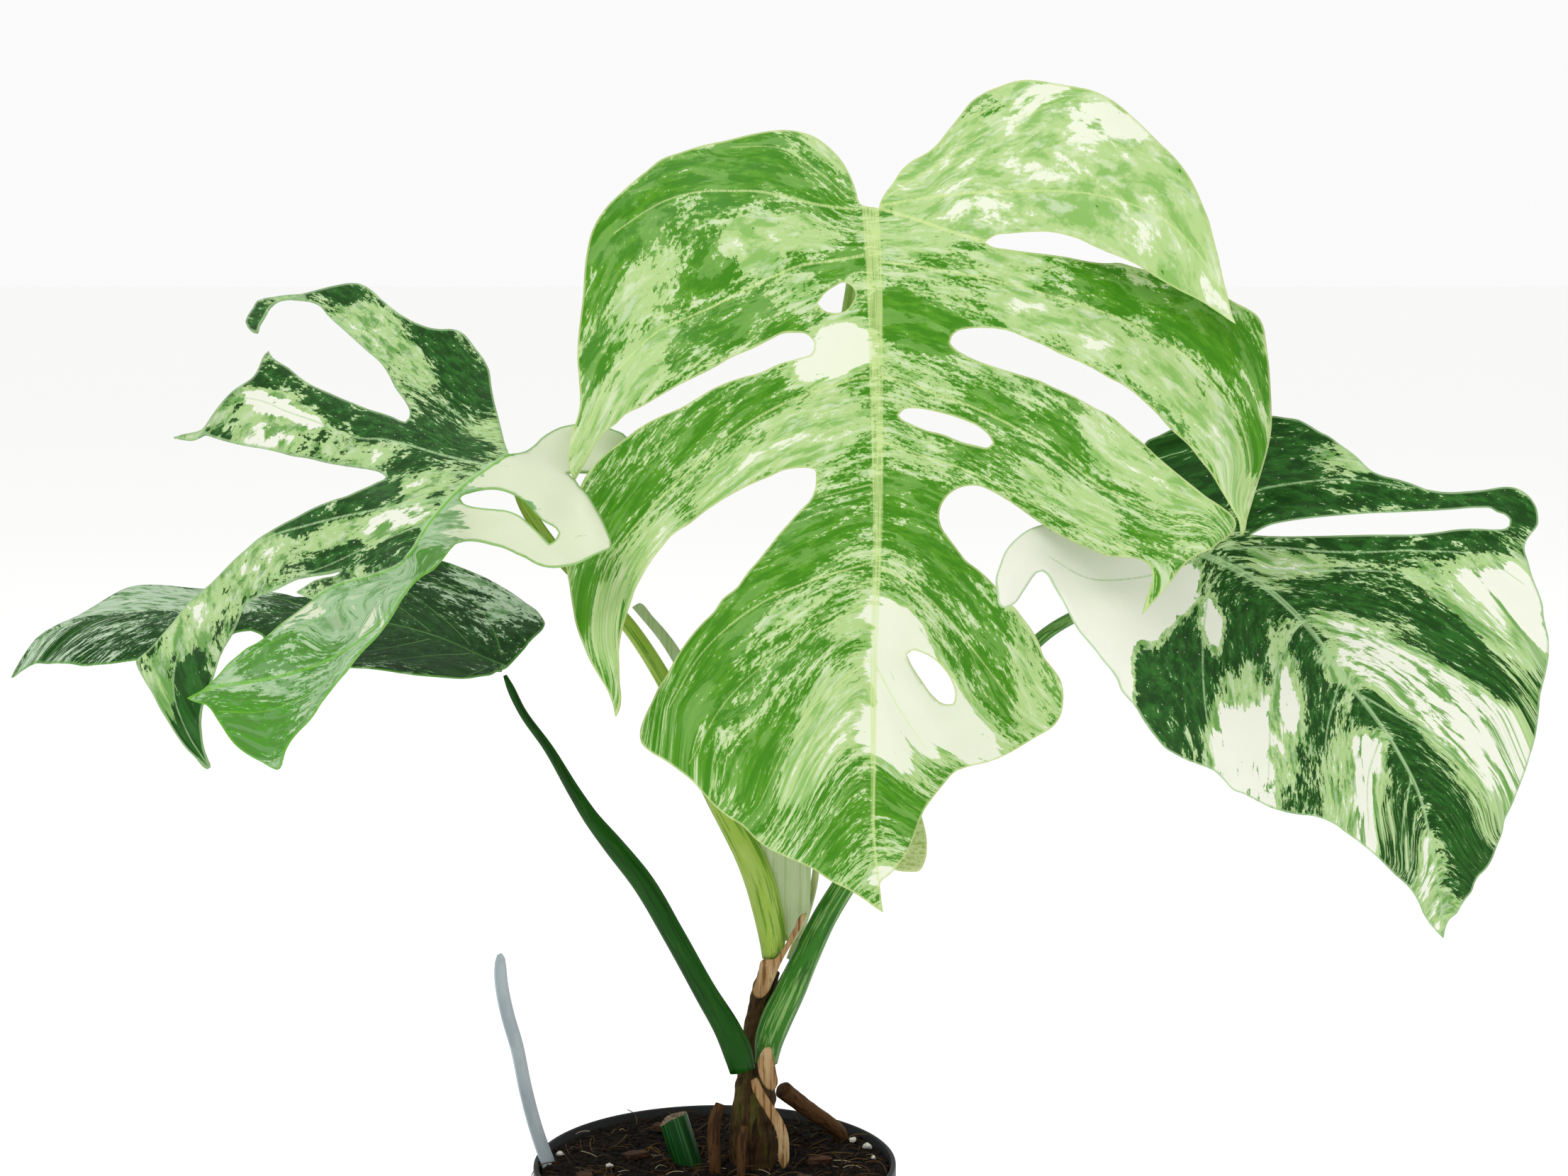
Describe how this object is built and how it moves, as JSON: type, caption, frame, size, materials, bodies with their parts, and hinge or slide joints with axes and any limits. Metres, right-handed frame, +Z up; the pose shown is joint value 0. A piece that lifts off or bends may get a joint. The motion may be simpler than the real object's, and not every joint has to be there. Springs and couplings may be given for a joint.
{
  "type": "potted monstera plant",
  "caption": "Variegated monstera with large split and holed leaves on long curved stalks, in a round tapered nursery pot of soil.",
  "frame": {"origin": "centre of the underside of the pot", "axes": "+Z up, +X to the right as seen from the front, -Y towards the front, the side that the large upright leaf faces"},
  "size_m": [0.5445, 0.1961, 0.5095],
  "materials": {
    "leaf_light": "satin, bright green with cream streaks and patches",
    "leaf_dark": "satin, deep green with cream and pale green streaks",
    "leaf_young": "satin, pale yellow green",
    "petiole_green": "satin, green with pale stripes",
    "petiole_pale": "satin, pale green with darker stripes",
    "stem_bark": "rough, brown and olive",
    "dry_sheath": "matte, dry and fibrous",
    "stub_green": "satin, dark green with a dry brown cut",
    "root_brown": "rough, brown",
    "label_plastic": "smooth, pale grey blue, blank",
    "pot_plastic": "fine satin, black",
    "soil": "rough, dark and fibrous",
    "perlite": "matte, white and porous",
    "bark": "rough, brown"
  },
  "bodies": {
    "root": {"leaf_front": "leaf_light", "leaf_left_upper": "leaf_dark", "leaf_left_lower": "leaf_dark", "leaf_right": "leaf_dark", "leaf_young": "leaf_young", "petiole_front": "petiole_pale", "petiole_left_upper": "petiole_pale", "petiole_left_lower": "petiole_green", "petiole_right": "petiole_green", "petiole_young": "petiole_pale", "stem": "stem_bark", "sheath_wing": "petiole_pale", "sheath_front": "petiole_pale", "sheath_upper": "dry_sheath", "sheath_lower": "dry_sheath", "sheath_strip": "dry_sheath", "stub": "stub_green", "root_right": "root_brown", "root_left": "root_brown", "root_front": "root_brown", "label": "label_plastic", "pot": "pot_plastic", "soil": "soil", "perlite_1": "perlite", "perlite_2": "perlite", "perlite_3": "perlite", "perlite_4": "perlite", "perlite_5": "perlite", "perlite_6": "perlite", "perlite_7": "perlite", "bark_1": "bark", "bark_2": "bark", "bark_3": "bark", "bark_4": "bark", "bark_5": "bark", "bark_6": "bark"}
  },
  "joints": []
}
